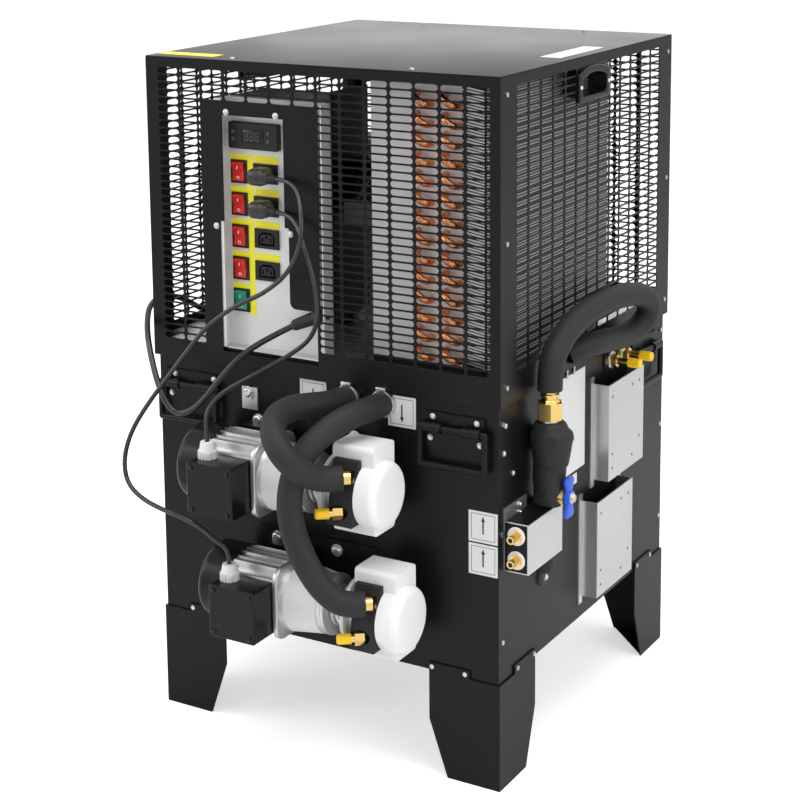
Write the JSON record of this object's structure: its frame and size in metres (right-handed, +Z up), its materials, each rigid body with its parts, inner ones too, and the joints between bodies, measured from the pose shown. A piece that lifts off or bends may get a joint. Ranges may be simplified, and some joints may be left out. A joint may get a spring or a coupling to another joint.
{
  "type": "glycol chiller",
  "caption": "Floor-standing glycol chiller with ventilated cover, control panel, front pumps, insulated hoses and mains lead.",
  "frame": {"origin": "bottom centre of the object without its cords and hoses, on the floor", "axes": "+X to the object's right, +Y to its back, +Z up"},
  "size_m": [0.6038, 0.8459, 0.9018],
  "materials": {
    "cover_top": "black satin powder coat",
    "cover_front": "black satin powder coat",
    "cover_back": "black satin powder coat",
    "cover_right": "black satin powder coat",
    "cover_left": "black satin powder coat",
    "cover_grips": "moulded black plastic",
    "casing_front": "black satin powder coat",
    "casing_walls": "black satin powder coat",
    "casing_base": "black satin powder coat",
    "deck_plate": "bright rolled sheet",
    "legs": "black satin powder coat",
    "panel_screws": "bright zinc",
    "tank_insulation": "foam",
    "inner_tank": "stainless sheet",
    "evaporator_coil": "copper tube",
    "control_plate": "galvanised sheet",
    "temperature_controller": "moulded, smooth",
    "panel_snap_ins": "moulded, satin",
    "condenser_core": "fin pack",
    "condenser_tubes": "copper tube",
    "condenser_shroud": "galvanised sheet",
    "fan_motor": "dark paint",
    "fan_blade": "pressed sheet",
    "compressor": "black enamel",
    "agitator_motor": "dark paint",
    "agitator_shaft": "stainless bar",
    "pump_motors": "cast and extruded, silver",
    "pump_covers": "gloss black",
    "cable_glands": "white moulded",
    "pump_head_foam": "white foam",
    "pump_head_wraps": "black foam tape",
    "pump_brackets": "black satin powder coat",
    "pump_rotor_upper": "turned bar and laminations",
    "pump_rotor_lower": "turned bar and laminations",
    "pipe_foam": "black pipe foam",
    "brass_fittings": "machined brass",
    "tail_caps": "yellow soft plastic",
    "valve_handle": "blue coated",
    "bright_brackets": "galvanised sheet",
    "lead_holders": "black moulded",
    "handle_plates": "black satin powder coat",
    "pump_hoses": "black foam sleeve",
    "return_hose": "black foam sleeve",
    "pump_leads": "black sheath",
    "mains_lead": "black sheath",
    "mains_coil": "black sheath",
    "cord_plugs": "black moulded",
    "rocker_pump_1": "red moulded",
    "rocker_pump_2": "red moulded",
    "rocker_pump_3": "red moulded",
    "rocker_pump_4": "red moulded",
    "rocker_power": "green moulded",
    "button_1": "moulded",
    "button_2": "moulded",
    "button_3": "moulded",
    "button_4": "moulded",
    "bail_front_right": "black satin powder coat",
    "bail_front_left": "black satin powder coat",
    "bail_side_right": "black satin powder coat",
    "bail_side_left": "black satin powder coat"
  },
  "bodies": {
    "cabinet": {"cover_top": "cover_top", "cover_front": "cover_front", "cover_back": "cover_back", "cover_right": "cover_right", "cover_left": "cover_left", "cover_grips": "cover_grips", "casing_front": "casing_front", "casing_walls": "casing_walls", "casing_base": "casing_base", "deck_plate": "deck_plate", "legs": "legs", "panel_screws": "panel_screws", "tank_insulation": "tank_insulation", "inner_tank": "inner_tank", "evaporator_coil": "evaporator_coil", "control_plate": "control_plate", "temperature_controller": "temperature_controller", "panel_snap_ins": "panel_snap_ins", "condenser_core": "condenser_core", "condenser_tubes": "condenser_tubes", "condenser_shroud": "condenser_shroud", "fan_motor": "fan_motor", "compressor": "compressor", "agitator_motor": "agitator_motor", "pump_motors": "pump_motors", "pump_covers": "pump_covers", "cable_glands": "cable_glands", "pump_head_foam": "pump_head_foam", "pump_head_wraps": "pump_head_wraps", "pump_brackets": "pump_brackets", "pipe_foam": "pipe_foam", "brass_fittings": "brass_fittings", "tail_caps": "tail_caps", "bright_brackets": "bright_brackets", "lead_holders": "lead_holders", "handle_plates": "handle_plates", "pump_hoses": "pump_hoses", "return_hose": "return_hose", "pump_leads": "pump_leads", "mains_lead": "mains_lead", "mains_coil": "mains_coil", "cord_plugs": "cord_plugs"},
    "rocker_pump_1": {"rocker_pump_1": "rocker_pump_1"},
    "rocker_pump_2": {"rocker_pump_2": "rocker_pump_2"},
    "rocker_pump_3": {"rocker_pump_3": "rocker_pump_3"},
    "rocker_pump_4": {"rocker_pump_4": "rocker_pump_4"},
    "rocker_power": {"rocker_power": "rocker_power"},
    "button_1": {"button_1": "button_1"},
    "button_2": {"button_2": "button_2"},
    "button_3": {"button_3": "button_3"},
    "button_4": {"button_4": "button_4"},
    "condenser_fan": {"fan_blade": "fan_blade"},
    "agitator": {"agitator_shaft": "agitator_shaft"},
    "rotor_upper": {"pump_rotor_upper": "pump_rotor_upper"},
    "rotor_lower": {"pump_rotor_lower": "pump_rotor_lower"},
    "valve": {"valve_handle": "valve_handle"},
    "bail_front_right": {"bail_front_right": "bail_front_right"},
    "bail_front_left": {"bail_front_left": "bail_front_left"},
    "bail_side_right": {"bail_side_right": "bail_side_right"},
    "bail_side_left": {"bail_side_left": "bail_side_left"}
  },
  "joints": [
    {"name": "rocker_pump_1_tilt", "type": "hinge", "parent": "cabinet", "child": "rocker_pump_1", "pos_m": [-0.1497, -0.1705, 0.753], "axis": [1, 0, 0], "range_deg": [-16, 0]},
    {"name": "rocker_pump_2_tilt", "type": "hinge", "parent": "cabinet", "child": "rocker_pump_2", "pos_m": [-0.1497, -0.1705, 0.7103], "axis": [1, 0, 0], "range_deg": [-16, 0]},
    {"name": "rocker_pump_3_tilt", "type": "hinge", "parent": "cabinet", "child": "rocker_pump_3", "pos_m": [-0.1497, -0.1705, 0.6676], "axis": [1, 0, 0], "range_deg": [-16, 0]},
    {"name": "rocker_pump_4_tilt", "type": "hinge", "parent": "cabinet", "child": "rocker_pump_4", "pos_m": [-0.1497, -0.1705, 0.6249], "axis": [1, 0, 0], "range_deg": [-16, 0]},
    {"name": "rocker_power_tilt", "type": "hinge", "parent": "cabinet", "child": "rocker_power", "pos_m": [-0.1497, -0.1705, 0.5822], "axis": [1, 0, 0], "range_deg": [-16, 0]},
    {"name": "button_1_press", "type": "slide", "parent": "cabinet", "child": "button_1", "axis": [0, 1, 0], "range_m": [0, 0.0006], "stiffness_N_per_m": 600},
    {"name": "button_2_press", "type": "slide", "parent": "cabinet", "child": "button_2", "axis": [0, 1, 0], "range_m": [0, 0.0006], "stiffness_N_per_m": 600},
    {"name": "button_3_press", "type": "slide", "parent": "cabinet", "child": "button_3", "axis": [0, 1, 0], "range_m": [0, 0.0006], "stiffness_N_per_m": 600},
    {"name": "button_4_press", "type": "slide", "parent": "cabinet", "child": "button_4", "axis": [0, 1, 0], "range_m": [0, 0.0006], "stiffness_N_per_m": 600},
    {"name": "fan_spin", "type": "hinge", "parent": "cabinet", "child": "condenser_fan", "pos_m": [0.029, 0.0075, 0.71], "axis": [1, 0, 0], "continuous": true},
    {"name": "agitator_spin", "type": "hinge", "parent": "cabinet", "child": "agitator", "pos_m": [-0.115, 0.0015, 0.5], "axis": [0, 0, 1], "continuous": true},
    {"name": "rotor_upper_spin", "type": "hinge", "parent": "cabinet", "child": "rotor_upper", "pos_m": [-0.02, -0.2505, 0.385], "axis": [1, 0, 0], "continuous": true},
    {"name": "rotor_lower_spin", "type": "hinge", "parent": "cabinet", "child": "rotor_lower", "pos_m": [0.009, -0.2505, 0.23], "axis": [1, 0, 0], "continuous": true},
    {"name": "valve_turn", "type": "hinge", "parent": "cabinet", "child": "valve", "pos_m": [0.28, -0.0965, 0.364], "axis": [1, 0, 0], "range_deg": [0, 90]},
    {"name": "bail_front_right_swing", "type": "hinge", "parent": "cabinet", "child": "bail_front_right", "pos_m": [0.175, -0.1975, 0.462], "axis": [-1, 0, 0], "range_deg": [0, 90]},
    {"name": "bail_front_left_swing", "type": "hinge", "parent": "cabinet", "child": "bail_front_left", "pos_m": [-0.2225, -0.1975, 0.462], "axis": [-1, 0, 0], "range_deg": [0, 90]},
    {"name": "bail_side_right_swing", "type": "hinge", "parent": "cabinet", "child": "bail_side_right", "pos_m": [0.244, 0.2565, 0.462], "axis": [0, -1, 0], "range_deg": [0, 90]},
    {"name": "bail_side_left_swing", "type": "hinge", "parent": "cabinet", "child": "bail_side_left", "pos_m": [-0.284, 0.2565, 0.462], "axis": [0, 1, 0], "range_deg": [0, 90]}
  ]
}
